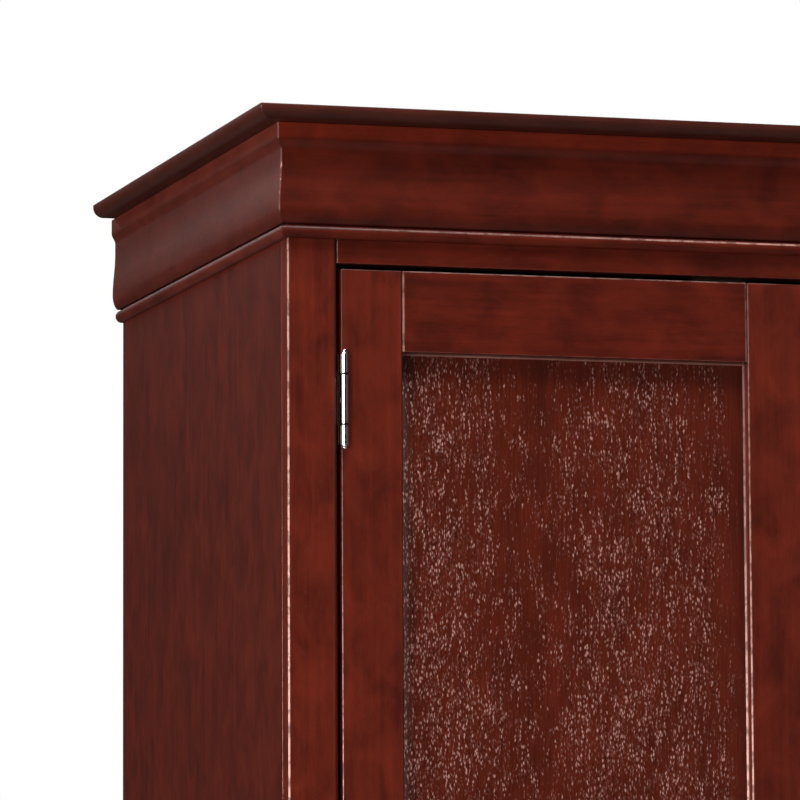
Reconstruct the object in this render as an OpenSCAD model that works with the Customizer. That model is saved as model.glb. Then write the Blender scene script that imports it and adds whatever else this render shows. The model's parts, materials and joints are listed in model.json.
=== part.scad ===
// Two-door armoire with two drawers, a moulded cornice and a bracket base.
// Millimetres. +Z is up and the doors face -Y. The origin is on the floor,
// under the middle of the whole outline.

/* [Overall] */
// Height from the floor to the upper face of the top board
total_h = 1800; // [1650:10:1950]
// Width of the carcase across its sides
body_w = 920; // [820:10:1080]
// Depth of the carcase from the face frame to the back edge
body_d = 580; // [500:10:640]
// Thickness of the sides, floor and inner top
board_t = 18; // [16:1:22]
// Thickness of the back panel
back_t = 5; // [4:1:6]

/* [Face frame] */
// Width of each upright of the face frame
stile_w = 43; // [36:1:60]
// Thickness of the face frame
frame_t = 19; // [17:1:24]
// Distance from the top of the armoire down to the door opening
opening_drop = 128; // [124:1:140]
// Height of the rail between the doors and the drawers
middle_rail_h = 25; // [18:1:40]
// Height of the rail between the two drawers
drawer_rail_h = 22; // [16:1:30]
// Height of the rail under the lower drawer
bottom_rail_h = 43; // [40:1:50]

/* [Cornice] */
// How far the top board stands out in front and at each side
top_over = 31; // [24:1:40]
// Thickness of the top board
top_t = 12; // [12:1:20]
// Distance from the back of the carcase to the back edge of the top board
top_back_inset = 10; // [0:1:20]
// Height of the cornice moulding under the top board
cornice_h = 84; // [80:0.5:95]
// Height of the half-round bead under the cornice
bead_h = 11.5; // [8:0.5:14]

/* [Base] */
// Height of the base, glides included
base_h = 115; // [90:5:140]
// How far the base stands out from the carcase
base_over = 10; // [6:1:16]
// Thickness of the base boards
base_t = 22; // [18:1:26]
// Width of each bracket foot at the floor
foot_w = 105; // [80:5:130]
// Height of the moulding on top of the base
base_mould_h = 18; // [14:1:24]

/* [Doors] */
// Thickness of the door frames
door_t = 20; // [18:1:24]
// Gap at the hinge side and under each door
door_gap = 3.5; // [3:0.5:5]
// Gap above each door
door_top_gap = 4.4; // [3:0.1:5]
// Gap between the two doors
meeting_gap = 3; // [2:0.5:5]
// Width of the door uprights
door_stile_w = 53; // [45:1:70]
// Height of the upper door rail
door_top_rail_h = 69; // [55:1:90]
// Height of the lower door rail
door_bottom_rail_h = 85; // [65:1:110]
// Thickness of the flat door panel
panel_t = 5; // [4:1:6]
// Depth of the panel's face behind the face of the door
panel_set = 11; // [8:1:12]
// Depth of the groove that holds the panel
groove_d = 8; // [6:1:10]

/* [Drawers] */
// Height of each drawer opening
drawer_open_h = 170; // [150:5:200]
// Gap around each drawer front
drawer_gap = 3; // [2:0.5:4]
// Thickness of the drawer fronts
drawer_front_t = 20; // [18:1:22]
// Thickness of the drawer sides and back
drawer_side_t = 12; // [10:1:15]
// Length of the drawer box behind the front
drawer_len = 480; // [400:10:490]
// Height of the drawer sides
drawer_side_h = 140; // [110:2:144]

/* [Hardware] */
// Length of the hinge barrels
hinge_len = 76.2; // [60:0.1:90]
// Outer radius of the hinge barrels
barrel_r = 3.1; // [2.8:0.1:3.4]
// Radius of the hinge pins
pin_r = 1.6; // [1.3:0.1:1.8]
// Thickness of the hinge leaves
leaf_t = 1.5; // [1.2:0.1:1.6]
// Distance from the door's end to the middle of the outer hinges
hinge_inset = 110; // [80:1:150]
// Radius of the knobs
knob_r = 15; // [12:0.5:18]
// Radius of the hanging rod
rod_r = 12.5; // [11:0.5:16]

/* [Hidden] */
$fn = 48;

cherry = [0.36, 0.10, 0.07];
cherry_dark = [0.28, 0.08, 0.06];
oak_stained = [0.33, 0.12, 0.09];
lining = [0.62, 0.44, 0.28];
drawer_wood = [0.74, 0.60, 0.42];
nickel = [0.78, 0.77, 0.75];
plastic_brown = [0.25, 0.16, 0.11];
glide_white = [0.88, 0.87, 0.84];

// Outer planes of the carcase
half_w = body_w / 2;
back_y = (body_d + top_over) / 2;
front_y = back_y - body_d;
inner_half = half_w - board_t;
frame_back_y = front_y + frame_t;
open_half = half_w - stile_w;

// Heights, from the floor up
glide_h = 4;
body_top_z = total_h - top_t;
cornice_z = body_top_z - cornice_h;
opening_top_z = total_h - opening_drop;
bottom_rail_top_z = base_h + bottom_rail_h;
lower_open_z = bottom_rail_top_z;
upper_open_z = lower_open_z + drawer_open_h + drawer_rail_h;
door_open_z = upper_open_z + drawer_open_h + middle_rail_h;

// Doors
door_z0 = door_open_z + door_gap;
door_z1 = opening_top_z - door_top_gap;
door_x0 = open_half - door_gap;
door_x1 = meeting_gap / 2;
hinge_zs = [door_z0 + hinge_inset, (door_z0 + door_z1) / 2, door_z1 - hinge_inset];
rail_x0 = door_x0 - door_stile_w;
rail_x1 = door_x1 + door_stile_w;
panel_fit = 0.3;
panel_y = front_y + panel_set;

// Hinges: the pin stands just in front of the door, over its edge
barrel_gap = 0.4;
pin_x = open_half - 5.35;
pin_y = front_y - barrel_r - barrel_gap;
bore_r = pin_r + 0.05;
knuckle_gap = 0.8;
outer_knuckle = 16.5;
leaf_depth = 17;
web_y = front_y - 2.1;

// Drawers
drawer_half = open_half - drawer_gap;
drawer_box_y = front_y + drawer_front_t;
runner_lift = 0.5;
tails_lift = 4;
tail_d = 12;
drawer_bottom_t = 4;
drawer_bottom_z = 12;
drawer_groove = 6;

// Inside of the wardrobe
shelf_z = 1480;
shelf_t = 16;
shelf_front_y = frame_back_y + 22;
pin_ys = [shelf_front_y + 40, back_y - 70];
pin_step = 32;
peg_r = 2.5;
rod_z = 1420;
rod_y = 20;
rod_wall = 1.2;

function arc(cx, cy, r, a0, a1, n) =
    [for (i = [0:n]) let (a = a0 + (a1 - a0) * i / n) [cx + r * cos(a), cy + r * sin(a)]];
// A smooth step from a to b as t goes from 0 to 1
function ease(a, b, t) = a + (b - a) * (1 - cos(180 * t)) / 2;

module block(x0, x1, y0, y1, z0, z1) {
    translate([x0, y0, z0]) cube([x1 - x0, y1 - y0, z1 - z0]);
}
module mirrored() { mirror([1, 0, 0]) children(); }
module both_sides() {
    children();
    mirrored() children();
}

// ---- Runs of moulding ---------------------------------------------------
// A profile's points are [distance out from the carcase face, height].
run_out = 60;
run_in = 30;
mitre_gap = 0.1;
// Plan of the front run, up to the 45 degree mitre at each corner
front_plan = [
    [-half_w - run_out, front_y - run_out], [half_w + run_out, front_y - run_out],
    [half_w - run_in, front_y + run_in], [-half_w + run_in, front_y + run_in]];
// Plan of the left run, from its mitre to the back
left_plan = [
    [-half_w - run_out, front_y - run_out + mitre_gap],
    [-half_w + run_in, front_y + run_in + mitre_gap],
    [-half_w + run_in, back_y], [-half_w - run_out, back_y]];
module mitred(plan) {
    intersection() {
        children();
        linear_extrude(total_h + 1) polygon(plan);
    }
}
module along_front(profile) {
    mitred(front_plan) translate([-half_w - run_out, 0, 0]) rotate([90, 0, 90])
        linear_extrude(body_w + 2 * run_out)
            polygon([for (p = profile) [front_y - p[0], p[1]]]);
}
module along_left(profile) {
    mitred(left_plan) translate([0, back_y, 0]) rotate([90, 0, 0])
        linear_extrude(body_d + run_out)
            polygon([for (p = profile) [-half_w - p[0], p[1]]]);
}

// ---- Base ---------------------------------------------------------------
bracket_rise = 46;
bracket_run = 48;
bracket_lip = 10;
// Half of a base board's outline: a bracket foot that sweeps up to the apron
function bracket(half_len) = concat(
    [[half_len, base_h], [half_len, glide_h], [half_len - foot_w, glide_h]],
    [for (i = [0:12]) [half_len - foot_w - bracket_run * i / 12,
                       ease(glide_h + bracket_lip, glide_h + bracket_rise, i / 12)]]);
function mirror_points(points) =
    [for (i = [len(points) - 1:-1:0]) [-points[i][0], points[i][1]]];
module bracket_board(half_len) {
    rotate([90, 0, 0]) linear_extrude(base_t, center = true)
        polygon(concat(bracket(half_len), mirror_points(bracket(half_len))));
}
base_mid = base_over - base_t / 2;
base_front_y = front_y - base_over;
base_mid_y = (base_front_y + back_y) / 2;
module base_front() {
    color(cherry) mitred(front_plan)
        translate([0, front_y - base_mid, 0]) bracket_board(half_w + base_over);
}
module base_side() {
    color(cherry) mitred(left_plan)
        translate([-half_w - base_mid, base_mid_y, 0]) rotate([0, 0, 90])
            bracket_board((back_y - base_front_y) / 2);
}
module base_back() {
    x1 = half_w + base_over - base_t;
    rise = 26;
    color(lining) block(-x1, x1, back_y - board_t, back_y, glide_h + rise, base_h);
}
module base_moulding() {
    o = base_over;
    h = base_mould_h;
    profile = concat(
        [[0, base_h], [o, base_h], [o, base_h + 4]],
        [for (i = [0:8]) [ease(o - 1.5, 1.5, i / 8), base_h + 4 + (h - 5.5) * i / 8]],
        [[1.5, base_h + h], [0, base_h + h]]);
    color(cherry) {
        along_front(profile);
        both_sides() along_left(profile);
    }
}
block_s = 46;
block_nose = 12;
block_x = half_w + base_over - base_t;
block_y = base_front_y + base_t;
module base_block(x, y, sx, sy) {
    translate([x, y, glide_h]) linear_extrude(base_h - glide_h) polygon([
        [0, 0], [sx * block_s, 0], [sx * block_s, sy * block_nose],
        [sx * block_nose, sy * block_s], [0, sy * block_s]]);
}
module base_blocks() {
    color(lining) both_sides() {
        base_block(-block_x, block_y, 1, 1);
        base_block(-block_x, back_y - board_t, 1, -1);
    }
}
module foot_glides() {
    inset = 15;
    color(glide_white) both_sides()
        for (y = [block_y + inset, back_y - board_t - inset])
            translate([-block_x + inset, y, 0]) rotate_extrude()
                polygon([[0, 0], [8, 0], [11, 1.5], [11, glide_h], [0, glide_h]]);
}

// ---- Carcase ------------------------------------------------------------
module carcase_side() {
    color(cherry_dark) difference() {
        block(-half_w, -inner_half, frame_back_y, back_y, base_h, body_top_z);
        block(-half_w + board_t / 2, -inner_half + 1, back_y - back_t - 1, back_y + 1,
              base_h - 1, body_top_z + 1);
        for (y = pin_ys, k = [-2:2])
            translate([-inner_half - 10, y, shelf_z - peg_r + k * pin_step])
                rotate([0, 90, 0]) cylinder(h = 11, r = peg_r);
    }
}
module carcase_stile() {
    color(cherry) block(-half_w, -open_half, front_y, frame_back_y, base_h, body_top_z);
}
module frame_rail(z0, z1) {
    block(-open_half, open_half, front_y, frame_back_y, z0, z1);
}
module top_rail() { color(cherry) frame_rail(opening_top_z, body_top_z); }
module middle_rail() { color(cherry) frame_rail(door_open_z - middle_rail_h, door_open_z); }
module drawer_rail() {
    color(cherry) frame_rail(upper_open_z - drawer_rail_h, upper_open_z);
}
module bottom_rail() { color(cherry) frame_rail(base_h, bottom_rail_top_z); }
module back_panel() {
    x1 = half_w - board_t / 2;
    color(lining) block(-x1, x1, back_y - back_t - 1, back_y - 1, base_h, body_top_z);
}
module level_board(z1) {
    block(-inner_half, inner_half, frame_back_y, back_y - back_t - 1, z1 - board_t, z1);
}
module inner_top() { color(lining) level_board(cornice_z); }
module wardrobe_floor() { color(lining) level_board(door_open_z); }
module bottom_board() { color(lining) level_board(base_h + board_t); }

// A runner carries the drawer side on its ledge and guides it with its upright
runner_h = 18;
guide_h = 15;
ledge_w = 16;
module drawer_runner(z) {
    x0 = inner_half;
    x1 = open_half;
    translate([0, frame_back_y + 1, 0]) rotate([-90, 0, 0])
        linear_extrude(drawer_len + 10) polygon([
            [-x0, -(z - runner_h)], [-x1 + ledge_w, -(z - runner_h)], [-x1 + ledge_w, -z],
            [-x1, -z], [-x1, -(z + guide_h)], [-x0, -(z + guide_h)]]);
}
module drawer_runners() {
    color(drawer_wood) both_sides() {
        drawer_runner(lower_open_z);
        drawer_runner(upper_open_z);
    }
}

// ---- Inside the wardrobe --------------------------------------------------
module upper_shelf() {
    color(lining) block(-inner_half + 1, inner_half - 1, shelf_front_y,
                        back_y - back_t - 4, shelf_z, shelf_z + shelf_t);
}
module shelf_pins() {
    color(nickel) both_sides() for (y = pin_ys)
        translate([-inner_half - 10, y, shelf_z - peg_r]) rotate([0, 90, 0])
            cylinder(h = 20, r = peg_r);
}
module hanging_rod() {
    color(nickel) translate([-inner_half + 3, rod_y, rod_z]) rotate([0, 90, 0])
        difference() {
            cylinder(h = 2 * inner_half - 6, r = rod_r);
            translate([0, 0, -1])
                cylinder(h = 2 * inner_half - 4, r = rod_r - rod_wall);
        }
}
module rod_socket() {
    translate([-inner_half, rod_y, rod_z]) rotate([0, 90, 0]) difference() {
        union() {
            cylinder(h = 2.6, r = rod_r + 11);
            cylinder(h = 14, r = rod_r + 2.8);
        }
        translate([0, 0, 2.6]) cylinder(h = 12, r = rod_r + 0.1);
    }
}
module rod_sockets() { color(nickel) both_sides() rod_socket(); }

// ---- Cornice ------------------------------------------------------------
edge_r = 9.5;
edge_lip = top_t - edge_r;
// Section of the top board: a square upper edge over a quarter round
module edge_section(x0, x1) {
    translate([x0, edge_r]) square([x1 - x0, edge_lip]);
    translate([x0 + edge_r, 0]) square([x1 - x0 - 2 * edge_r, top_t]);
    for (x = [x0 + edge_r, x1 - edge_r]) translate([x, edge_r]) circle(edge_r);
}
module top_board() {
    x1 = half_w + top_over;
    y0 = front_y - top_over;
    y1 = back_y - top_back_inset;
    color(cherry) translate([0, 0, total_h - top_t]) intersection() {
        translate([0, y1, 0]) rotate([90, 0, 0])
            linear_extrude(y1 - y0) edge_section(-x1, x1);
        translate([-x1, 0, 0]) rotate([90, 0, 90])
            linear_extrude(2 * x1) edge_section(y0, y1 + edge_r);
        block(-x1, x1, y0, y1, 0, top_t);
    }
}
fillet_out = 11;
fillet_drop = 13;
neck_out = 7.6;
neck_drop = 22.5;
hollow_drop = 32;
belly_out = 10;
belly_drop = 71;
heel_out = 5.6;
heel_angle = 60;
bead_out = 7.2;
// Cornice section, from the top board down: fillet, neck, belly and heel
function cornice_profile() = let (z = body_top_z) concat(
    [[0, z], [fillet_out, z], [fillet_out, z - fillet_drop]],
    [for (i = [1:6]) [ease(fillet_out, neck_out, i / 6),
                      z - fillet_drop - (neck_drop - fillet_drop) * i / 6]],
    [for (i = [0:8]) [ease(neck_out, belly_out, i / 8),
                      z - hollow_drop - (belly_drop - hollow_drop) * i / 8]],
    [for (i = [1:6]) let (a = heel_angle * i / 6) [
        belly_out - (belly_out - heel_out) * (1 - cos(a)) / (1 - cos(heel_angle)),
        z - belly_drop - (cornice_h - belly_drop) * sin(a) / sin(heel_angle)]],
    [[0, cornice_z]]);
module cornice_front() { color(cherry) along_front(cornice_profile()); }
module cornice_side() { color(cherry) along_left(cornice_profile()); }
module cornice_bead() {
    r = bead_h / 2;
    z = cornice_z - 0.5 - r;
    profile = concat([[0, z - r]], arc(bead_out - r, z, r, -90, 90, 10), [[0, z + r]]);
    color(cherry) {
        along_front(profile);
        both_sides() along_left(profile);
    }
}

// ---- Hinges and catches, for the left door -------------------------------
module knuckle(z0, h) {
    translate([-pin_x, pin_y, z0]) cylinder(h = h, r = barrel_r);
}
module pin_bore(z) {
    translate([-pin_x, pin_y, z - hinge_len / 2 - 1])
        cylinder(h = hinge_len + 2, r = bore_r);
}
// The leaf on the face frame, with the two outer knuckles
module frame_leaf(z) {
    z0 = z - hinge_len / 2;
    difference() {
        union() {
            block(-open_half, -open_half + leaf_t, front_y, front_y + leaf_depth,
                  z0, z0 + hinge_len);
            for (k = [z0, z0 + hinge_len - outer_knuckle]) {
                knuckle(k, outer_knuckle);
                block(-open_half, -pin_x, web_y, web_y + leaf_t, k, k + outer_knuckle);
                block(-open_half, -open_half + leaf_t, web_y, front_y + 1,
                      k, k + outer_knuckle);
            }
        }
        pin_bore(z);
    }
}
// The leaf let into the door's edge, with the middle knuckle
module door_leaf(z) {
    z0 = z - hinge_len / 2;
    m0 = z0 + outer_knuckle + knuckle_gap;
    mid = hinge_len - 2 * (outer_knuckle + knuckle_gap);
    difference() {
        union() {
            block(-door_x0, -door_x0 + leaf_t, front_y, front_y + leaf_depth,
                  z0, z0 + hinge_len);
            knuckle(m0, mid);
            block(-door_x0, -door_x0 + leaf_t, pin_y, front_y + 1, m0, m0 + mid);
        }
        pin_bore(z);
    }
}
module frame_hinge_leaves() {
    color(nickel) both_sides() for (z = hinge_zs) frame_leaf(z);
}
module door_hinge_leaves() { color(nickel) for (z = hinge_zs) door_leaf(z); }
// A hinge pin's end: a collar with a ball on it, standing on a knuckle
module pin_tip() {
    collar_r = 2.6;
    ball_r = 1.9;
    rotate_extrude() polygon(concat(
        [[0, 0], [collar_r, 0], [collar_r, 1]], arc(0, 2.2, ball_r, -35, 90, 8)));
}
module hinge_pins() {
    color(nickel) both_sides() for (z = hinge_zs)
        translate([-pin_x, pin_y, z - hinge_len / 2]) {
            cylinder(h = hinge_len, r = pin_r);
            mirror([0, 0, 1]) pin_tip();
            translate([0, 0, hinge_len]) pin_tip();
        }
}
catch_x = 70;
catch_w = 44;
catch_d = 14;
catch_drop = 20;
catch_hole_r = 1.8;
strike_w = 38;
strike_h = 13;
strike_drop = 5;
strike_t = 1.2;
catch_front_y = front_y + door_t + strike_t + 0.4;
module door_catches() {
    color(plastic_brown) both_sides() difference() {
        block(-catch_x - catch_w / 2, -catch_x + catch_w / 2, catch_front_y,
              catch_front_y + catch_d, door_z1 - catch_drop, cornice_z - board_t);
        for (x = [-catch_w / 3, catch_w / 3])
            translate([-catch_x + x, catch_front_y - 1, door_z1 - 3])
                rotate([-90, 0, 0]) cylinder(h = catch_d + 2, r = catch_hole_r);
    }
}
module door_strike() {
    y = front_y + door_t;
    color(nickel) block(-catch_x - strike_w / 2, -catch_x + strike_w / 2, y, y + strike_t,
                        door_z1 - strike_drop - strike_h, door_z1 - strike_drop);
}

// ---- Left door -----------------------------------------------------------
// The panel groove, cut from a frame piece around the panel's edge
module panel_groove() {
    block(-rail_x0 - groove_d, -rail_x1 + groove_d, panel_y - panel_fit / 2,
          panel_y + panel_t + panel_fit / 2,
          door_z0 + door_bottom_rail_h - groove_d, door_z1 - door_top_rail_h + groove_d);
}
// The tongue at each end of a rail, and the stile's slot for it
module rail_tongues(z0, z1) {
    block(-rail_x0 - groove_d, -rail_x1 + groove_d, panel_y, panel_y + panel_t, z0, z1);
}
tongue_in = 10;
module bottom_tongues() {
    rail_tongues(door_z0 + tongue_in, door_z0 + door_bottom_rail_h - groove_d);
}
module top_tongues() {
    rail_tongues(door_z1 - door_top_rail_h + groove_d, door_z1 - tongue_in);
}
module hinge_mortises() {
    for (z = hinge_zs)
        block(-door_x0 - 1, -door_x0 + leaf_t, front_y - 1, front_y + leaf_depth,
              z - hinge_len / 2, z + hinge_len / 2);
}
module door_hinge_stile() {
    color(cherry) difference() {
        block(-door_x0, -rail_x0, front_y, front_y + door_t, door_z0, door_z1);
        panel_groove();
        bottom_tongues();
        top_tongues();
        hinge_mortises();
    }
}
module door_meeting_stile() {
    color(cherry) difference() {
        block(-rail_x1, -door_x1, front_y, front_y + door_t, door_z0, door_z1);
        panel_groove();
        bottom_tongues();
        top_tongues();
    }
}
module door_top_rail() {
    color(cherry) difference() {
        union() {
            block(-rail_x0, -rail_x1, front_y, front_y + door_t,
                  door_z1 - door_top_rail_h, door_z1);
            top_tongues();
        }
        panel_groove();
    }
}
module door_bottom_rail() {
    color(cherry) difference() {
        union() {
            block(-rail_x0, -rail_x1, front_y, front_y + door_t,
                  door_z0, door_z0 + door_bottom_rail_h);
            bottom_tongues();
        }
        panel_groove();
    }
}
module door_panel() {
    g = groove_d - 1;
    color(oak_stained) block(-rail_x0 - g, -rail_x1 + g, panel_y, panel_y + panel_t,
        door_z0 + door_bottom_rail_h - g, door_z1 - door_top_rail_h + g);
}
// A turned mushroom knob on a round foot, standing out from y towards -Y
knob_foot_r = 9;
knob_neck_r = 7;
knob_rim = 17;
knob_flare = 4;
knob_crown = 8;
module knob(x, y, z) {
    translate([x, y, z]) rotate([90, 0, 0]) rotate_extrude() polygon(concat(
        [[0, 0], [knob_foot_r, 0], [knob_foot_r, 1.8], [7.6, 3.2], [5.6, 6], [5.2, 9],
         [6, 12]],
        [for (i = [0:8]) [knob_neck_r + (knob_r - knob_neck_r) * sin(90 * i / 8),
                          knob_rim - knob_flare * cos(90 * i / 8)]],
        [for (i = [1:8]) [knob_r * cos(90 * i / 8), knob_rim + knob_crown * sin(90 * i / 8)]]));
}
module door_knob() {
    color(nickel) knob(-(door_x1 + rail_x1) / 2, front_y, (door_z0 + door_z1) / 2);
}

// ---- Drawers -------------------------------------------------------------
tails = 4;
dado_d = 4;
box_x = drawer_half - drawer_side_t;
box_end_y = drawer_box_y + drawer_len;
// The tails that lock a drawer's left side into its front
module drawer_tails(z0) {
    pitch = drawer_side_h / tails;
    translate([-drawer_half, 0, z0]) rotate([90, 0, 90]) linear_extrude(drawer_side_t)
        for (i = [0:tails - 1]) translate([drawer_box_y, (i + 0.5) * pitch]) polygon([
            [0, -pitch * 0.27], [0, pitch * 0.27],
            [-tail_d, pitch * 0.38], [-tail_d, -pitch * 0.38]]);
}
// The thin bottom's shape; slack leaves room at its front and side edges
module bottom_sheet(open_z, slack) {
    z = open_z + runner_lift + drawer_bottom_z;
    x1 = box_x + drawer_groove - slack;
    block(-x1, x1, drawer_box_y - drawer_groove + slack, box_end_y + 1 - slack,
          z, z + drawer_bottom_t);
}
module drawer_front(open_z) {
    color(cherry) difference() {
        block(-drawer_half, drawer_half, front_y, drawer_box_y,
              open_z + drawer_gap, open_z + drawer_open_h - drawer_gap);
        both_sides() drawer_tails(open_z + tails_lift);
        bottom_sheet(open_z, 0);
    }
}
module drawer_side(open_z) {
    z0 = open_z + runner_lift;
    color(drawer_wood) difference() {
        union() {
            block(-drawer_half, -box_x, drawer_box_y, box_end_y, z0, z0 + drawer_side_h);
            drawer_tails(open_z + tails_lift);
        }
        bottom_sheet(open_z, 0);
        back_board(open_z);
    }
}
// The back stands on the bottom, let into a dado in each side
module back_board(open_z) {
    z0 = open_z + runner_lift;
    block(-box_x - dado_d, box_x + dado_d, box_end_y - drawer_side_t - 12, box_end_y - 12,
          z0 + drawer_bottom_z + drawer_bottom_t, z0 + drawer_side_h);
}
module drawer_back(open_z) { color(drawer_wood) back_board(open_z); }
module drawer_bottom(open_z) { color(lining) bottom_sheet(open_z, 1); }
module drawer_knobs(open_z) {
    color(nickel) both_sides() knob(-drawer_half / 2, front_y, open_z + drawer_open_h / 2);
}

base_front();
base_side();  // base_left
mirrored() base_side();  // base_right
base_back();
base_moulding();
base_blocks();
foot_glides();
carcase_side();  // left_side
mirrored() carcase_side();  // right_side
carcase_stile();  // left_stile
mirrored() carcase_stile();  // right_stile
top_rail();
middle_rail();
drawer_rail();
bottom_rail();
back_panel();
inner_top();
wardrobe_floor();
bottom_board();
drawer_runners();
upper_shelf();
shelf_pins();
hanging_rod();
rod_sockets();
top_board();
cornice_front();
cornice_side();  // cornice_left
mirrored() cornice_side();  // cornice_right
cornice_bead();
frame_hinge_leaves();
hinge_pins();
door_catches();
door_hinge_stile();  // left_door_hinge_stile
door_meeting_stile();  // left_door_meeting_stile
door_top_rail();  // left_door_top_rail
door_bottom_rail();  // left_door_bottom_rail
door_panel();  // left_door_panel
door_knob();  // left_door_knob
door_hinge_leaves();  // left_door_hinge_leaves
door_strike();  // left_door_strike
mirrored() door_hinge_stile();  // right_door_hinge_stile
mirrored() door_meeting_stile();  // right_door_meeting_stile
mirrored() door_top_rail();  // right_door_top_rail
mirrored() door_bottom_rail();  // right_door_bottom_rail
mirrored() door_panel();  // right_door_panel
mirrored() door_knob();  // right_door_knob
mirrored() door_hinge_leaves();  // right_door_hinge_leaves
mirrored() door_strike();  // right_door_strike
drawer_front(upper_open_z);  // upper_drawer_front
drawer_side(upper_open_z);  // upper_drawer_left_side
mirrored() drawer_side(upper_open_z);  // upper_drawer_right_side
drawer_back(upper_open_z);  // upper_drawer_back
drawer_bottom(upper_open_z);  // upper_drawer_bottom
drawer_knobs(upper_open_z);  // upper_drawer_knobs
drawer_front(lower_open_z);  // lower_drawer_front
drawer_side(lower_open_z);  // lower_drawer_left_side
mirrored() drawer_side(lower_open_z);  // lower_drawer_right_side
drawer_back(lower_open_z);  // lower_drawer_back
drawer_bottom(lower_open_z);  // lower_drawer_bottom
drawer_knobs(lower_open_z);  // lower_drawer_knobs
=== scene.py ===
"""A two-door armoire in deep red cherry: materials, eased edges, fittings and studio light."""
import json
import math

import bmesh
import bpy
from mathutils import Matrix, Vector

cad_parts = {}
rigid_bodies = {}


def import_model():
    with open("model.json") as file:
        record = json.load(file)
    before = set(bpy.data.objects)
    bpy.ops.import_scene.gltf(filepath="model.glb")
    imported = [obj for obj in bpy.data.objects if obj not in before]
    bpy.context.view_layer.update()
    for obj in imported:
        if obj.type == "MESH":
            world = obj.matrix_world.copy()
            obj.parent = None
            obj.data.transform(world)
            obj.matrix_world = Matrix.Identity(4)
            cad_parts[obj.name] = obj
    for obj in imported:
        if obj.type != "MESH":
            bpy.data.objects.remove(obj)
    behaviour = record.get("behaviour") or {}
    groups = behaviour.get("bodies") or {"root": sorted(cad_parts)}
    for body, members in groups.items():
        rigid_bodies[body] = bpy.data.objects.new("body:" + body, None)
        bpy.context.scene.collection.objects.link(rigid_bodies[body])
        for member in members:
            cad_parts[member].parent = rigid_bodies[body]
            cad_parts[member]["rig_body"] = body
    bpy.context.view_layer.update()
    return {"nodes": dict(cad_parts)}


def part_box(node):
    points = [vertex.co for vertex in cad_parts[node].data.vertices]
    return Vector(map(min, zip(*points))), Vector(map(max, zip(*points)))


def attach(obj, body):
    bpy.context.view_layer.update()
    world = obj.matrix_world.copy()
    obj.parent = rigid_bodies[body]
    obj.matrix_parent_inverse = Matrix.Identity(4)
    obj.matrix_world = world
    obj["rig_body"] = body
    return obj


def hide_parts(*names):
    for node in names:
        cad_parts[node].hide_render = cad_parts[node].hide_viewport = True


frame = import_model()
MM = 0.001
NODES = frame["nodes"]
CARCASE = "carcase"
SIDES = {"left": -1, "right": 1}
FRONT_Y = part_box("left_stile")[0].y
BACK_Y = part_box("left_side")[1].y
HALF_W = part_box("right_side")[1].x
BODY_TOP_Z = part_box("top_board")[0].z
KNOB_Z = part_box("left_door_knob")[0].z
OPENING_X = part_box("right_stile")[0].x

LEAF_THICKNESS = 1.5 * MM
HINGE_LENGTH = 76.2 * MM
OUTER_KNUCKLE, KNUCKLE_GAP = 16.5 * MM, 0.8 * MM
KNUCKLES_MEET = HINGE_LENGTH / 2 - OUTER_KNUCKLE - KNUCKLE_GAP / 2
GAP_SHADE_REACH = 0.95 * MM
LEAVES_LOW, LEAVES_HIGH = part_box("frame_hinge_leaves")
TOP_HINGE_Z = LEAVES_HIGH.z - HINGE_LENGTH / 2
MIDDLE_HINGE_Z = (LEAVES_LOW.z + LEAVES_HIGH.z) / 2
HINGE_ZS = [LEAVES_LOW.z + HINGE_LENGTH / 2, MIDDLE_HINGE_Z, TOP_HINGE_Z]

UPRIGHT_RED = (0.114, 0.0128, 0.0052)
LEVEL_RED = (0.097, 0.0098, 0.0036)
SIDE_RED = (0.087, 0.0098, 0.0038)
PANEL_RED = (0.094, 0.0110, 0.0042)
CROWN_SIDE_SHEEN_BROWN = (0.090, 0.0150, 0.0090)
TOP_BROWN = (0.078, 0.0165, 0.0105)
EDGE_HIGHLIGHT_TINT = (0.74, 0.40, 0.33, 1)
PORE_GLINT_TINT = (0.52, 0.25, 0.21, 1)
STILE_SIDE_PAINTED_LIGHT = (1.0, 0.60, 0.50, 1)
PANEL_RIM_SHADE = (0.014, 0.0020, 0.0010, 1)
PORE_SHADOW_SIDE = (0.016, 0.0020, 0.0010, 1)
NICKEL = (0.80, 0.78, 0.75)
KNUCKLE_GAP_SHADE = (0.03, 0.022, 0.02, 1)
LEAF_GAP_SHADE = (0.05, 0.035, 0.03, 1)
LINING = ((0.14, 0.045, 0.022), (0.25, 0.095, 0.048))
MAPLE = ((0.42, 0.26, 0.13), (0.58, 0.39, 0.21))


def middle_of(node):
    low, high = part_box(node)
    return (low + high) / 2


def close(a, b):
    return abs(a - b) < 0.1 * MM


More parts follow.
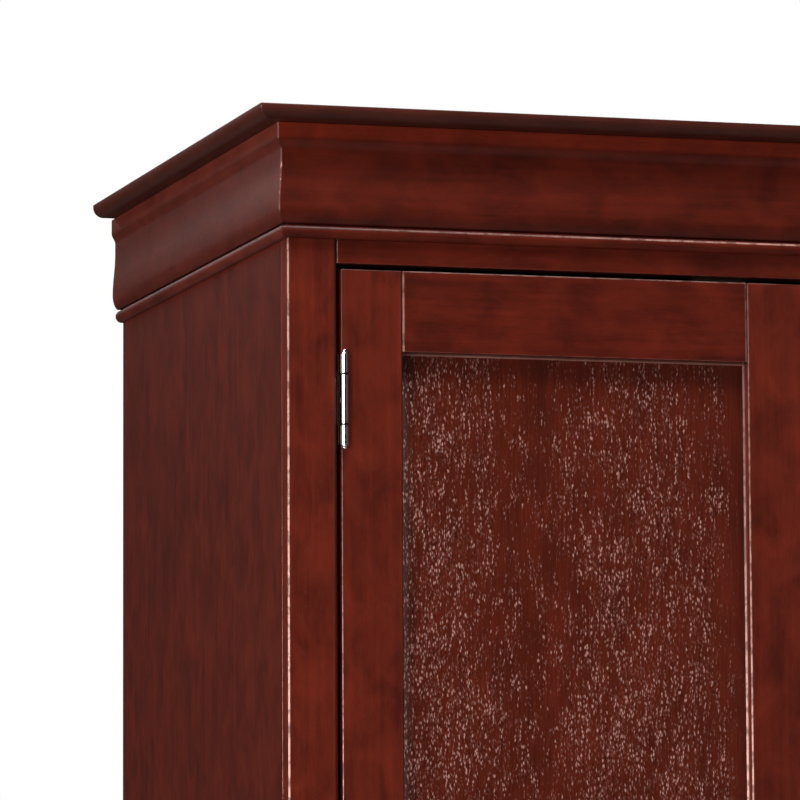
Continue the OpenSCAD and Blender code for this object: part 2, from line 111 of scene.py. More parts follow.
# ---- Node materials --------------------------------------------------------
class Shader:
    """Builds a node material. add gives back its node, finish the material, most others a value."""

    def __init__(self, name):
        self.material = bpy.data.materials.new(name)
        self.material.use_nodes = True
        self.nodes = self.material.node_tree.nodes
        self.links = self.material.node_tree.links
        self.nodes.clear()
        where = self.add("ShaderNodeTexCoord")
        self.place = where.outputs["Object"]
        self.facing = where.outputs["Normal"]
        random = self.add("ShaderNodeObjectInfo").outputs["Random"]
        board = self.add("ShaderNodeVectorMath", {0: random, 1: (7.3, 5.1, 9.7), 2: self.place},
                         operation="MULTIPLY_ADD")
        self.own_place = board.outputs[0]

    def add(self, kind, inputs=None, **settings):
        """A new node with these settings, its inputs linked or set."""
        node = self.nodes.new(kind)
        for key, value in settings.items():
            setattr(node, key, value)
        for key, value in (inputs or {}).items():
            self.put(node.inputs[key], value)
        return node

    def put(self, socket, value):
        """Links a node's output to the socket, or sets a plain value on it."""
        if isinstance(value, bpy.types.NodeSocket):
            self.links.new(value, socket)
        else:
            socket.default_value = value

    def sized(self, size, shift=(0, 0, 0), place=None):
        """Coordinates that go up by one for each size, in metres, along x, y and z."""
        return self.add("ShaderNodeMapping",
                        {"Vector": place or self.own_place, "Location": shift,
                         "Scale": tuple(1 / s for s in size)}).outputs[0]

    def noise(self, size, detail=2.0, roughness=0.5, distortion=0.0, shift=(0, 0, 0), place=None):
        return self.add("ShaderNodeTexNoise",
                        {"Vector": self.sized(size, shift, place), "Scale": 1.0,
                         "Detail": detail, "Roughness": roughness,
                         "Distortion": distortion}).outputs["Fac"]

    def cells(self, size, shift=(0, 0, 0), place=None):
        """How far the nearest cell's point is, and a random value for that cell."""
        node = self.add("ShaderNodeTexVoronoi",
                        {"Vector": self.sized(size, shift, place), "Scale": 1.0})
        split = self.add("ShaderNodeSeparateColor", {0: node.outputs["Color"]})
        return node.outputs["Distance"], split.outputs[0]

    def math(self, operation, a, b=0.0, c=0.0, clamp=False):
        return self.add("ShaderNodeMath", {0: a, 1: b, 2: c}, operation=operation,
                        use_clamp=clamp).outputs[0]

    def span(self, value, low, high, to_low=0.0, to_high=1.0, linear=False):
        """The value carried from one range to another, and held inside it."""
        return self.add("ShaderNodeMapRange",
                        {"Value": value, "From Min": low, "From Max": high,
                         "To Min": to_low, "To Max": to_high},
                        interpolation_type="LINEAR" if linear else "SMOOTHSTEP").outputs[0]

    def mix(self, amount, a, b, blend="MIX"):
        node = self.add("ShaderNodeMix", data_type="RGBA", blend_type=blend)
        for index, value in ((0, amount), (6, a), (7, b)):
            self.put(node.inputs[index], value)
        return node.outputs[2]

    def ramp(self, value, stops):
        """A colour from a list of positions and colours."""
        node = self.add("ShaderNodeValToRGB", {"Fac": value})
        ends = node.color_ramp.elements
        for element, (position, colour) in zip(ends, (stops[0], stops[-1])):
            element.position = position
            element.color = (*colour, 1)
        for position, colour in stops[1:-1]:
            ends.new(position).color = (*colour, 1)
        return node.outputs["Color"]

    def bump(self, height, depth, normal=None):
        inputs = {"Height": height, "Distance": depth, "Strength": 1.0}
        if normal:
            inputs["Normal"] = normal
        return self.add("ShaderNodeBump", inputs).outputs[0]

    def finish(self, inputs):
        surface = self.add("ShaderNodeBsdfPrincipled", inputs)
        self.add("ShaderNodeOutputMaterial", {"Surface": surface.outputs[0]})
        return self.material


def grain(across, length, along):
    """The size of a wood detail that runs along an axis, in mm, as metres along x, y and z."""
    return tuple((length if axis == along else across) * MM for axis in "xyz")


def scaled(colour, amount):
    return tuple(amount * c for c in colour)


def cherry(name, along, colour, depth=0.42, haze=0.0, coat=0.75, painted_height_shading=None):
    """Stained cherry under satin lacquer: soft blotches, long fibres and small closed pores.

    Its shading by height gives two heights, and shares of the colour from the first height to the
    second: painted light and shade, lighter where the moulding is lit and darker under its
    overhangs and where it turns down."""
    s = Shader(name)
    blotch = s.noise(grain(26, 40, along), detail=3, roughness=0.55, distortion=0.5)
    streak = s.noise(grain(6, 170, along), detail=3, roughness=0.5, shift=(3, 1, 2))
    fibre = s.noise(grain(0.7, 11, along), detail=4, roughness=0.65, shift=(5, 7, 1))
    pore = s.noise(grain(0.45, 3.2, along), detail=1, roughness=0.5, shift=(9, 2, 6))
    tone = s.math("ADD", s.math("MULTIPLY", blotch, 0.50), s.math("MULTIPLY", streak, 0.26))
    tone = s.math("ADD", tone, s.math("MULTIPLY", fibre, 0.24))
    stain = s.ramp(tone, [(0.36, scaled(colour, 1 - depth)), (0.50, colour),
                          (0.64, scaled(colour, 1 + depth))])
    if painted_height_shading:
        low, high, shares = painted_height_shading
        height = s.add("ShaderNodeSeparateXYZ", {0: s.place}).outputs["Z"]
        lit_share = s.ramp(s.span(height, low, high, linear=True),
                       [(position, (share / 2,) * 3) for position, share in shares])
        lit_share = s.mix(1.0, lit_share, (2, 2, 2, 1), blend="MULTIPLY")
        stain = s.mix(1.0, stain, lit_share, blend="MULTIPLY")
    pores = s.span(pore, 0.66, 0.74)
    stain = s.mix(s.math("MULTIPLY", pores, 0.45), stain, (*scaled(colour, 0.35), 1))
    peel = s.noise(grain(2.6, 3.6, along), detail=2, roughness=0.4, shift=(1, 8, 4))
    normal = s.bump(peel, 0.03 * MM)
    normal = s.bump(fibre, 0.03 * MM, normal=normal)
    normal = s.bump(pores, -0.03 * MM, normal=normal)
    return s.finish({
        "Base Color": stain,
        "Roughness": s.span(fibre, 0.3, 0.7, 0.42, 0.55),
        "Specular IOR Level": 0.12,
        "Coat Weight": coat,
        "Coat Roughness": 0.15 + haze,
        "Coat IOR": 1.5,
        "Normal": normal,
        "Coat Normal": normal,
    })


def painted_edge_highlight(name, colour, least, most, towards="top", beyond=0.0, fade=1.0,
                spotted=(0.36, 0.56, 0.3)):
    """An edge painted with a pale highlight in broken lengths, standing in for the lights'
    reflections on eased edges.

    It is painted strongest at knob height or at the middle of the front, weaker towards the top or
    the sides, and not at all on edges that face down or lie nearer the middle than beyond. A fade
    above one keeps the painted highlight to its strongest lengths. The last argument gives where
    the bright spots start and end in their noise, and the share of highlight between the spots."""
    s = Shader(name)
    axes = s.add("ShaderNodeSeparateXYZ", {0: s.place})
    facing = s.add("ShaderNodeSeparateXYZ", {0: s.facing}).outputs["Z"]
    aside = s.math("ABSOLUTE", axes.outputs["X"])
    if towards == "top":
        highlight_place = s.span(axes.outputs["Z"], KNOB_Z, BODY_TOP_Z, 1.0, 0.0)
    else:
        highlight_place = s.span(aside, 0.0, HALF_W, 1.0, 0.0, linear=True)
    highlight = s.math("MULTIPLY_ADD", s.math("POWER", highlight_place, fade), most - least, least)
    # Edges that face down get no painted highlight.
    highlight = s.math("MULTIPLY", highlight, s.span(facing, -0.2, -0.04))
    if beyond:
        highlight = s.math("MULTIPLY", highlight, s.math("GREATER_THAN", aside, beyond))
    bright_spots = s.noise((9 * MM,) * 3, detail=2, roughness=0.6)
    start, end, between = spotted
    highlight = s.math("MULTIPLY", highlight, s.span(bright_spots, start, end, between, 1.0), clamp=True)
    sheen = s.noise((0.8 * MM,) * 3, detail=2, shift=(5, 5, 5))
    tint = s.mix(highlight, (*scaled(colour, 0.6), 1), EDGE_HIGHLIGHT_TINT)
    normal = s.bump(sheen, 0.02 * MM)
    return s.finish({
        "Base Color": tint,
        "Roughness": s.span(sheen, 0.3, 0.7, 0.38, 0.5),
        "Specular IOR Level": 0.12,
        "Coat Weight": 0.3,
        "Coat Roughness": 0.3,
        "Normal": normal,
        "Coat Normal": normal,
    })


def open_pored_veneer(name, panel_node):
    """Open-pored veneer under a clear coat: chains of short pores painted as pale glints, each with
    a painted shadow to one side, in bands down the panel.

    The two panels are matched leaves, so the bands mirror across the middle of the armoire."""
    s = Shader(name)
    low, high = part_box(panel_node)
    outer, inner = max(-low.x, high.x), min(abs(low.x), abs(high.x))
    axes = s.add("ShaderNodeSeparateXYZ", {0: s.place})
    across = s.span(s.math("ABSOLUTE", axes.outputs["X"]), inner, outer, 1.0, 0.0, linear=True)
    bands = s.ramp(across, [(0.0, (1.0,) * 3), (0.12, (1.0,) * 3), (0.22, (0.8,) * 3),
                            (0.31, (0.3,) * 3), (0.42, (0.3,) * 3), (0.50, (0.65,) * 3),
                            (0.64, (0.85,) * 3), (0.76, (0.8,) * 3), (0.90, (0.45,) * 3),
                            (0.965, (0.0,) * 3)])
    # The painted glints thicken lower down.
    lower = s.span(axes.outputs["Z"], KNOB_Z, high.z, 0.12, -0.18, linear=True)
    patch = s.noise(grain(20, 60, "z"), detail=3, roughness=0.6, shift=(4, 4, 1))
    # Painted light beside the hinge stile, where the stile's edge would shade the panel: a paler
    # base and more glints there.
    beside_stile = s.span(across, 0.025, 0.060, 1.0, 0.0)
    amount = s.math("ADD", s.math("MULTIPLY", bands, 0.60),
                    s.span(patch, 0.35, 0.65, -0.25, 0.25))
    amount = s.math("ADD", amount, lower)
    amount = s.math("ADD", amount, s.math("MULTIPLY", beside_stile, 0.25))
    sway = s.noise(grain(9, 16, "z"), detail=2, shift=(2, 4, 8), place=s.place)
    shove = s.add("ShaderNodeCombineXYZ", {"X": s.math("MULTIPLY", sway, 5 * MM)}).outputs[0]
    bent = s.add("ShaderNodeVectorMath", {0: s.own_place, 1: shove}, operation="ADD").outputs[0]

    def pores(shift, width=1.8, length=4.2):
        """Short upright pores, strung along wandering lines where there are many."""
        chain = s.noise(grain(2.2, 22, "z"), detail=1, shift=shift, place=bent)
        far, chance = s.cells(grain(width, length, "z"), shift, bent)
        chance = s.math("MULTIPLY_ADD", chance, 0.38, s.span(chain, 0.36, 0.64))
        shown = s.span(s.math("ADD", chance, amount), 0.98, 1.55)
        shown = s.math("MULTIPLY", shown, s.span(across, 0.90, 0.96, 1.0, 0.1))
        return s.math("MULTIPLY", s.span(far, 0.16, 0.52, 1.0, 0.0), shown)

    fine = pores((3.3, 0, 1.7), width=1.3, length=3.4)
    light = s.math("MAXIMUM", pores((0, 0, 0), width=1.7), s.math("MULTIPLY", fine, 0.25))
    # A copy of the pores, shifted aside, is painted dark: the painted shadow side of each glint.
    dark = pores((-0.50, 0, 0.12))
    streak = s.noise(grain(1.4, 50, "z"), detail=4, roughness=0.6, shift=(6, 3, 5))
    blotch = s.noise(grain(22, 60, "z"), detail=3, shift=(1, 6, 2))
    tone = s.math("ADD", s.math("MULTIPLY", streak, 0.6), s.math("MULTIPLY", blotch, 0.4))
    base = s.ramp(tone, [(0.36, scaled(PANEL_RED, 0.62)), (0.64, scaled(PANEL_RED, 1.3))])
    # Painted shade: darker along the top under the rail and along the meeting edge, with weaker
    # glints at the top.
    top = s.span(axes.outputs["Z"], high.z - 34 * MM, high.z - 10 * MM)
    rim = s.math("MAXIMUM", s.span(across, 0.93, 0.99, 0.0, 0.45),
                 s.math("MULTIPLY", top, 0.15))
    base = s.mix(rim, base, PANEL_RIM_SHADE)
    base = s.mix(s.math("MULTIPLY", dark, 0.75), base, PORE_SHADOW_SIDE)
    light = s.math("MULTIPLY", light, s.math("MULTIPLY_ADD", top, -0.45, 1.0))
    pale = s.mix(beside_stile, PORE_GLINT_TINT, STILE_SIDE_PAINTED_LIGHT)
    base = s.mix(s.math("MULTIPLY", beside_stile, 0.13), base, pale)
    stain = s.mix(light, base, pale)
    normal = s.bump(s.math("SUBTRACT", light, s.math("MULTIPLY", dark, 0.6)), 0.10 * MM)
    fibre = s.noise(grain(0.5, 8, "z"), detail=3, shift=(8, 1, 3))
    normal = s.bump(fibre, 0.04 * MM, normal=normal)
    return s.finish({
        "Base Color": stain,
        "Roughness": 0.45,
        "Specular IOR Level": 0.12,
        "Coat Weight": 0.75,
        "Coat Roughness": 0.18,
        "Normal": normal,
        "Coat Normal": normal,
    })


def plain_wood(name, along, dark, light, roughness=0.5):
    """Unstained or lining board with straight grain."""
    s = Shader(name)
    streak = s.noise(grain(5, 160, along), detail=4, roughness=0.55, distortion=0.3)
    fibre = s.noise(grain(0.6, 16, along), detail=4, roughness=0.6, shift=(4, 2, 7))
    tone = s.math("ADD", s.math("MULTIPLY", streak, 0.65), s.math("MULTIPLY", fibre, 0.35))
    colour = s.ramp(tone, [(0.36, dark), (0.64, light)])
    return s.finish({
        "Base Color": colour,
        "Roughness": s.span(fibre, 0.3, 0.7, roughness - 0.06, roughness + 0.08),
        "Specular IOR Level": 0.35,
        "Coat Weight": 0.15,
        "Coat Roughness": 0.35,
        "Normal": s.bump(fibre, 0.03 * MM),
    })


def metal(name, colour, roughness, brushed=None, shaded_behind=None, gap_shaded=None):
    """Plated metal. Past the given y it is painted dark: painted shade inside a door's gap.

    The last argument gives how near and how far from each hinge's middle, up and down, its barrel
    is painted dark: painted shade in the gaps, as the pin is inside the barrel and the knuckles are
    where they meet."""
    s = Shader(name)
    size = grain(0.12, 2.4, brushed) if brushed else (0.9 * MM,) * 3
    marks = s.noise(size, detail=3, roughness=0.6)
    smear = s.noise((6 * MM,) * 3, detail=2, shift=(3, 3, 3))
    tint = s.mix(s.span(smear, 0.35, 0.7, 0.0, 0.35), (*colour, 1),
                 (*scaled(colour, 0.72), 1))
    if shaded_behind is not None:
        depth = s.add("ShaderNodeSeparateXYZ", {0: s.place}).outputs["Y"]
        gap_shade = s.span(depth, shaded_behind, shaded_behind + 0.1 * MM)
        tint = s.mix(gap_shade, tint, LEAF_GAP_SHADE)
    if gap_shaded is not None:
        nearest, farthest = gap_shaded
        spacing = TOP_HINGE_Z - MIDDLE_HINGE_Z
        axes = s.add("ShaderNodeSeparateXYZ", {0: s.place})
        from_middle = s.math("ABSOLUTE", s.math("SUBTRACT", axes.outputs["Z"], MIDDLE_HINGE_Z))
        from_outer = s.math("ABSOLUTE", s.math("SUBTRACT", from_middle, spacing))
        reach = s.math("MINIMUM", from_middle, from_outer)
        dark = s.math("MULTIPLY", s.math("GREATER_THAN", reach, nearest),
                      s.math("LESS_THAN", reach, farthest))
        dark = s.math("MULTIPLY", dark,
                      s.math("LESS_THAN", axes.outputs["Y"], FRONT_Y - 0.5 * MM))
        tint = s.mix(dark, tint, KNUCKLE_GAP_SHADE)
    return s.finish({
        "Base Color": tint,
        "Metallic": 1.0,
        "Roughness": s.span(marks, 0.3, 0.7, roughness, roughness + 0.12),
        "Normal": s.bump(marks, 0.004 * MM),
    })


def plastic(name, colour, roughness=0.4):
    s = Shader(name)
    mottle = s.noise((0.7 * MM,) * 3, detail=3)
    tint = s.mix(s.span(mottle, 0.3, 0.7, 0.0, 0.3), (*colour, 1), (*scaled(colour, 0.8), 1))
    return s.finish({
        "Base Color": tint,
        "Roughness": s.span(mottle, 0.3, 0.7, roughness, roughness + 0.12),
        "Normal": s.bump(mottle, 0.01 * MM),
    })


# ---- The armoire's materials -----------------------------------------------
# A shading by height is a lowest and a highest z, and shares of the colour at positions between
# them: painted light and shade on the cornice and the top board.
CORNICE_ZS = (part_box("cornice_front")[0].z, BODY_TOP_Z)
# The front's fillet is painted lighter, and its neck and heel darker: painted light and shade.
FRONT_PAINTED_SHADING = (*CORNICE_ZS, [(0.0, 0.74), (0.12, 0.85), (0.2, 1.0), (0.35, 0.95), (0.5, 0.84),
                             (0.7, 0.88), (0.83, 0.8), (0.87, 1.5), (1.0, 1.5)])
SIDE_PAINTED_SHADING = (*CORNICE_ZS, [(0.0, 0.8), (0.2, 0.95), (0.7, 1.0), (0.83, 0.9), (0.87, 1.08),
                            (1.0, 1.08)])
# The top board is painted darker towards the bottom of its nose: painted shade where the nose turns
# down.
TOP_PAINTED_SHADING = (BODY_TOP_Z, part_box("top_board")[1].z,
             [(0.0, 0.6), (0.5, 0.8), (0.9, 0.9), (0.99, 1.0)])

upright = cherry("cherry_upright", "z", UPRIGHT_RED)
level = cherry("cherry_level", "x", LEVEL_RED)
level_y = cherry("cherry_level_side", "y", LEVEL_RED, haze=0.12)
crown = cherry("cherry_crown", "x", LEVEL_RED, haze=0.15, coat=0.3, painted_height_shading=FRONT_PAINTED_SHADING)
# The side runs of the cornice and bead take a greyer brown than the front's red: painted sheen,
# standing in for the grey haze on the sides.
crown_side = cherry("cherry_crown_side", "y", CROWN_SIDE_SHEEN_BROWN, depth=0.3, haze=0.2, coat=0.12,
                    painted_height_shading=SIDE_PAINTED_SHADING)
bead_wood = cherry("cherry_bead", "x", LEVEL_RED, haze=0.2, coat=0.2)
bead_side = cherry("cherry_bead_side", "y", CROWN_SIDE_SHEEN_BROWN, haze=0.2, coat=0.05)
top_wood = cherry("cherry_top", "x", TOP_BROWN, depth=0.3, haze=0.1, coat=0.25, painted_height_shading=TOP_PAINTED_SHADING)
side_wood = cherry("cherry_side_veneer", "z", SIDE_RED, depth=0.36, haze=0.06)

# Painted highlights: a pale tint on eased edges, mitres and the bead's crest, standing in for
# reflections of the lights.
corner_edge = painted_edge_highlight("corner_painted_highlight", UPRIGHT_RED, 0.47, 1.25, beyond=HALF_W - 5 * MM)
upright_edge = painted_edge_highlight("upright_edge_painted_highlight", UPRIGHT_RED, 0.03, 1.25, fade=1.8)
hinge_stile_edge = painted_edge_highlight("hinge_stile_painted_highlight", UPRIGHT_RED, 0.02, 1.3, fade=2.0,
                               beyond=middle_of("right_door_hinge_stile").x)
meeting_stile_edge = painted_edge_highlight("meeting_stile_painted_highlight", UPRIGHT_RED, 0.08, 1.2, fade=1.6,
                                 beyond=middle_of("right_door_meeting_stile").x)
level_edge = painted_edge_highlight("level_edge_painted_highlight", LEVEL_RED, 0.20, 0.8)
mitre_edge = painted_edge_highlight("mitre_painted_glint", LEVEL_RED, 1.0, 1.0, spotted=(0.56, 0.64, 0.10))
crest_edge = painted_edge_highlight("crest_painted_highlight", LEVEL_RED, 0.0, 0.62, towards="sides")

# A paler wood for the top of each panel fillet: painted light, a lit line under the door's top
# rail.
fillet_painted_light = plain_wood("fillet_painted_light", "x", (0.12, 0.042, 0.028), (0.44, 0.20, 0.15), 0.4)
panel_wood = open_pored_veneer("panel_veneer", "left_door_panel")
lining = plain_wood("lining_board", "x", *LINING, 0.45)
lining_upright = plain_wood("lining_board_upright", "z", *LINING, 0.45)
maple_x = plain_wood("drawer_board", "x", *MAPLE)
maple_y = plain_wood("drawer_board_side", "y", *MAPLE)

# Painted shade for the knuckle gaps lies between two distances from each hinge's middle, up and
# down.
KNUCKLE_GAP_SHADING = (KNUCKLES_MEET - GAP_SHADE_REACH, KNUCKLES_MEET + GAP_SHADE_REACH)
PIN_GAP_SHADING = (0.0, HINGE_LENGTH / 2 - 1 * MM)
nickel = metal("polished_nickel", NICKEL, 0.06, gap_shaded=KNUCKLE_GAP_SHADING)
frame_leaf_nickel = metal("frame_leaf_nickel", NICKEL, 0.06, shaded_behind=FRONT_Y - 2.3 * MM,
                          gap_shaded=KNUCKLE_GAP_SHADING)
pin_nickel = metal("pin_nickel", NICKEL, 0.06, gap_shaded=PIN_GAP_SHADING)
screw_nickel = metal("screw_nickel", (0.72, 0.70, 0.67), 0.16)
screw_steel = metal("screw_steel", (0.45, 0.44, 0.43), 0.28)
knob_metal = metal("brushed_nickel", (0.66, 0.63, 0.58), 0.22)
steel = metal("plated_steel", (0.66, 0.66, 0.67), 0.20, brushed="x")
catch_material = plastic("catch_plastic", (0.055, 0.030, 0.020))
nylon = plastic("glide_nylon", (0.78, 0.76, 0.71), 0.45)


# ---- Meshes ----------------------------------------------------------------
def add_object(name, mesh, body, material):
    """Puts a mesh in the scene as a piece that rides on a body."""
    piece = bpy.data.objects.new(name, mesh)
    bpy.context.scene.collection.objects.link(piece)
    mesh.materials.append(material)
    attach(piece, body)
    return piece


def mesh_from(name, bm, sharp_angle=35):
    """Turns a bmesh into a mesh, smooth except across edges sharper than the angle."""
    bmesh.ops.recalc_face_normals(bm, faces=bm.faces)
    limit = math.radians(sharp_angle)
    for face in bm.faces:
        face.smooth = True
    for edge in bm.edges:
        edge.smooth = len(edge.link_faces) == 2 and edge.calc_face_angle(0) < limit
    mesh = bpy.data.meshes.new(name)
    bm.to_mesh(mesh)
    bm.free()
    return mesh


def weigh_normals(piece):
    """Keeps broad faces flat in shading next to narrow rounded ones."""
    modifier = piece.modifiers.new("flat_faces", "WEIGHTED_NORMAL")
    modifier.weight = 60
    modifier.keep_sharp = True


BEVEL_WEIGHT = "bevel_weight_edge"


def ease_edges(piece, width, segments=3, by_weight=False):
    """Rounds the piece's edges over a width in metres: its sharp ones, or those with a weight."""
    bevel = piece.modifiers.new("eased_edges", "BEVEL")
    bevel.width = width
    bevel.segments = segments
    bevel.limit_method = "WEIGHT" if by_weight else "ANGLE"
    bevel.angle_limit = math.radians(40)
    bevel.miter_outer = "MITER_ARC"
    bevel.harden_normals = True
    return bevel


def clean_copy(node):
    """A bmesh of a CAD node, with its triangles joined back into flat faces."""
    bm = bmesh.new()
    bm.from_mesh(NODES[node].data)
    bmesh.ops.remove_doubles(bm, verts=bm.verts, dist=0.002 * MM)
    bmesh.ops.dissolve_limit(bm, angle_limit=math.radians(0.5), verts=bm.verts,
                             edges=bm.edges)
    return bm


def board(node, material, ease=0.8, rounded=None, edge_highlight=None):
    """The CAD board with its edges eased, in mm, and its eased edges given a painted highlight.

    rounded gives other radii, in mm, each with a test that picks edges by their middles."""
    bm = clean_copy(node)
    rounded = rounded or {}
    widest = max(rounded, default=ease)
    weight = bm.edges.layers.float.new(BEVEL_WEIGHT)
    for edge in bm.edges:
        if len(edge.link_faces) != 2 or edge.calc_face_angle(0) < math.radians(40):
            continue
        middle = (edge.verts[0].co + edge.verts[1].co) / 2
        radius = next((r for r, picks in rounded.items() if picks(middle)), ease)
        room = min(near.calc_length() for vert in edge.verts for near in vert.link_edges)
        radius = min(radius, 0.4 * room / MM)
        edge[weight] = radius / widest if radius > 0.1 else 0.0
    mesh = mesh_from(node + "_eased", bm)
    piece = add_object(node + "_board", mesh, NODES[node]["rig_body"], material)
    bevel = ease_edges(piece, widest * MM, 5 if rounded else 3, by_weight=True)
    if edge_highlight:
        mesh.materials.append(edge_highlight)
        bevel.material = 1
    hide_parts(node)
    return piece


def smooth_part(node, material, ease=0.0, sharp_angle=30):
    """The CAD part, shaded smooth round its curves, for turned and pressed metal."""
    mesh = mesh_from(node + "_smooth", clean_copy(node), sharp_angle)
    piece = add_object(node + "_part", mesh, NODES[node]["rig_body"], material)
    if ease:
        ease_edges(piece, ease * MM, segments=2)
    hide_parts(node)
    return piece


def ease_between(a, b, t):
    """A smooth step from a to b as t goes from 0 to 1."""
    return a + (b - a) * (1 - math.cos(math.pi * t)) / 2


def arc_points(cx, cy, radius, start, end, count):
    """Points on an arc, with its angles in degrees."""
    angles = [math.radians(start + (end - start) * i / count) for i in range(count + 1)]
    return [(cx + radius * math.cos(a), cy + radius * math.sin(a)) for a in angles]


def soften(points, radius, least_turn=30):
    """The closed outline with its sharp corners rounded."""
    softened = []
    for before, here, after in zip(points[-1:] + points[:-1], points, points[1:] + points[:1]):
        a = Vector(before) - Vector(here)
        b = Vector(after) - Vector(here)
        turn = 180 - math.degrees(a.angle(b))
        if turn < least_turn:
            softened.append(here)
            continue
        reach = min(radius, a.length / 3, b.length / 3)
        start = Vector(here) + a.normalized() * reach
        end = Vector(here) + b.normalized() * reach
        for i in range(4):
            t = i / 3
            point = start * (1 - t) ** 2 + Vector(here) * 2 * t * (1 - t) + end * t ** 2
            softened.append((point.x, point.y))
    return softened


# ---- Runs of moulding --------------------------------------------------------
# A column is a point on the carcase's plan, and how it moves for each unit of distance out.
MITRE_RADIUS = 1.3 * MM


def corner_columns(side, radius, start, end, count=5):
    """Columns round one front corner, on angles that go from 180 at its side to 270 in front."""
    plan = arc_points(-HALF_W + radius, FRONT_Y + radius, radius, start, end, count)
    return [((-side * x, y), (side, -1)) for x, y in plan]


def front_columns():
    """Columns from the middle of one front corner to the middle of the other."""
    return (corner_columns(-1, MITRE_RADIUS, 225, 270)
            + corner_columns(1, MITRE_RADIUS, 270, 225))


def side_columns(side):
    """Columns from the middle of a front corner to the back."""
    return corner_columns(side, MITRE_RADIUS, 225, 180) + [((side * HALF_W, BACK_Y), (side, 0))]


def column_points(column, profile, bm):
    (x, y), (dx, dy) = column
    return [bm.verts.new((x + dx * out, y + dy * out, z)) for out, z in profile]


def run_mesh(name, profile, columns, sharp_angle=28):
    """Sweeps a closed profile of (distance out, height) through the columns.

    Faces of the short steps round a mitred corner take the second material."""
    bm = bmesh.new()
    rings = [column_points(column, profile, bm) for column in columns]
    count = len(profile)
    for a, b in zip(rings, rings[1:]):
        turning = (a[0].co - b[0].co).length < 5 * MM
        for i in range(count):
            j = (i + 1) % count
            bm.faces.new((a[i], a[j], b[j], b[i])).material_index = int(turning)
    bm.faces.new(rings[0])
    bm.faces.new(rings[-1])
    return mesh_from(name, bm, sharp_angle)


def moulding(label, profile, front_node, side_nodes, woods=(level, level_y),
             edge_highlight=mitre_edge, crest=None):
    """Three mitred lengths of a moulding, each its own piece, with painted glints at the mitres.

    woods are the front's and the sides' materials. crest gives the heights that take a painted
    highlight all along the front."""
    runs = [("front", front_columns(), woods[0], front_node)]
    for name, side in SIDES.items():
        runs.append((name, side_columns(side), woods[1], side_nodes[name]))
    for name, columns, material, node in runs:
        mesh = run_mesh(f"{label}_{name}", profile, columns)
        piece = add_object(f"{label}_{name}_run", mesh, CARCASE, material)
        mesh.materials.append(edge_highlight)
        if crest and name == "front":
            for polygon in mesh.polygons:
                if crest[0] < polygon.center.z < crest[1] and polygon.normal.z > 0.1:
                    polygon.material_index = 1
        weigh_normals(piece)
        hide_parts(node)


def cornice_profile():
    """The cornice section of the CAD part, with more points: fillet, neck, belly, heel."""
    z = BODY_TOP_Z
    fillet_out, neck_out, belly_out, heel_out = (v * MM for v in (11, 7.6, 10, 5.6))
    fillet_z, neck_z, hollow_z, belly_z = (z - v * MM for v in (13, 22.5, 32, 71))
    heel_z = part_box("cornice_front")[0].z
    last = math.radians(60)
    points = [(0, z), (fillet_out, z), (fillet_out, fillet_z)]
    for i in range(1, 9):
        points.append((ease_between(fillet_out, neck_out, i / 8),
                       fillet_z + (neck_z - fillet_z) * i / 8))
    for i in range(13):
        points.append((ease_between(neck_out, belly_out, i / 12),
                       hollow_z + (belly_z - hollow_z) * i / 12))
    for i in range(1, 11):
        a = last * i / 10
        points.append((belly_out - (belly_out - heel_out) * (1 - math.cos(a))
                       / (1 - math.cos(last)),
                       belly_z - (belly_z - heel_z) * math.sin(a) / math.sin(last)))
    points.append((0, heel_z))
    return points


def bead_profile():
    """A half-round nose on a square back."""
    low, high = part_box("cornice_bead")
    radius = (high.z - low.z) / 2
    out = FRONT_Y - low.y
    nose = arc_points(out - radius, low.z + radius, radius, -90, 90, 20)
    return [(0, low.z)] + nose + [(0, high.z)]


def base_moulding_profile():
    """The base moulding's section: a square step, and an ogee that rises from its ledge."""
    low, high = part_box("base_moulding")
    out = FRONT_Y - low.y
    ledge = 1.5 * MM
    step_z, shoulder_z = low.z + 4 * MM, high.z - ledge
    points = [(0, low.z), (out, low.z), (out, step_z)]
    for i in range(13):
        points.append((ease_between(out - ledge, ledge, i / 12),
                       step_z + (shoulder_z - step_z) * i / 12))
    return points + [(ledge, high.z), (0, high.z)]


def same_node(node):
    return {name: node for name in SIDES}


moulding("cornice", soften(cornice_profile(), 0.9 * MM), "cornice_front",
         {name: "cornice_" + name for name in SIDES}, woods=(crown, crown_side))
BEAD_Z = middle_of("cornice_bead").z
moulding("cornice_bead", bead_profile(), "cornice_bead", same_node("cornice_bead"),
         woods=(bead_wood, bead_side), edge_highlight=crest_edge,
         crest=(BEAD_Z + 1.6 * MM, BEAD_Z + 3.4 * MM))
moulding("base_moulding", soften(base_moulding_profile(), 0.7 * MM), "base_moulding",
         same_node("base_moulding"))


def top_board():
    """The top board: a square lip, eased, over a quarter-round nose."""
    low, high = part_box("top_board")
    out = high.x - HALF_W
    nose, lip, corner = 9.5 * MM, 0.9 * MM, 1.5 * MM
    profile = arc_points(out - nose, low.z + nose, nose, -90, 0, 14)
    profile += arc_points(out - lip, high.z - lip, lip, 0, 90, 5)
    columns = [((-HALF_W, high.y), (-1, 0))]
    columns += corner_columns(-1, corner, 180, 270, 8)
    columns += corner_columns(1, corner, 270, 180, 8)
    columns += [((HALF_W, high.y), (1, 0))]
    bm = bmesh.new()
    posts = [column_points(column, profile, bm) for column in columns]
    for a, b in zip(posts, posts[1:] + posts[:1]):
        for i in range(len(profile) - 1):
            bm.faces.new((a[i], a[i + 1], b[i + 1], b[i]))
    bm.faces.new([post[0] for post in posts])
    bm.faces.new([post[-1] for post in posts])
    mesh = mesh_from("top_board_shaped", bm, sharp_angle=28)
    piece = add_object("top_board_piece", mesh, CARCASE, top_wood)
    weigh_normals(piece)
    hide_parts("top_board")


top_board()


